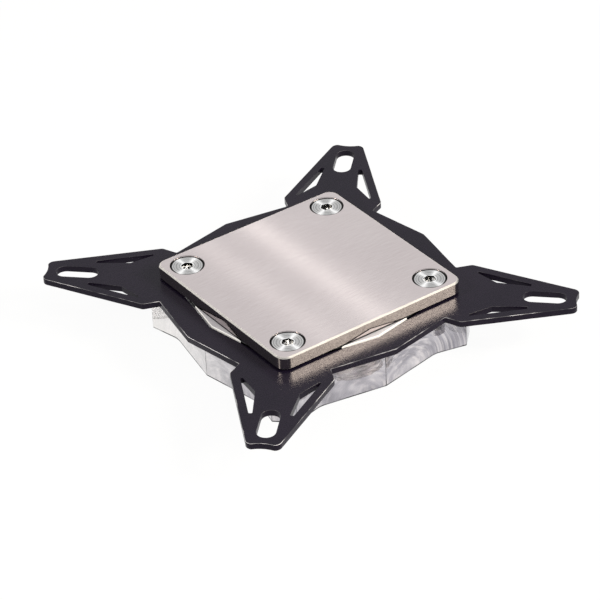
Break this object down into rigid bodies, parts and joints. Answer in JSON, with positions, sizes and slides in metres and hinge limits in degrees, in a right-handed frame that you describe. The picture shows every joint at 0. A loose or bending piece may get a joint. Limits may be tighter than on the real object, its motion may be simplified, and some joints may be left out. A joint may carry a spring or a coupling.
{
  "type": "cpu water block",
  "caption": "Liquid cooling block for a processor: square nickelled cold plate, cross-shaped black bracket with slotted arms, and a clear top with threaded water ports.",
  "frame": {"origin": "middle of the port face of the clear top, on which the block lies", "axes": "+Z is the way the contact face of the cold plate looks; the arms of the bracket run along X and Y"},
  "size_m": [0.1224, 0.1224, 0.016],
  "materials": {
    "clear_acrylic": "clear cast acrylic, faces milled and polished",
    "black_coating": "black satin coating on steel sheet",
    "nickel_plate": "nickel plate on copper, contact face lapped to a fine even grain",
    "stainless_sheet": "plain stainless sheet",
    "silicone": "matt silicone",
    "seal_rubber": "satin black rubber",
    "screw_steel": "bright turned stainless steel"
  },
  "bodies": {
    "root": {"clear_top": "clear_acrylic", "mounting_bracket": "black_coating", "cold_plate": "nickel_plate", "jet_plate": "stainless_sheet", "jet_gasket": "silicone", "plate_seal": "seal_rubber", "plate_screw_1": "screw_steel", "plate_screw_2": "screw_steel", "plate_screw_3": "screw_steel", "plate_screw_4": "screw_steel"}
  },
  "joints": []
}
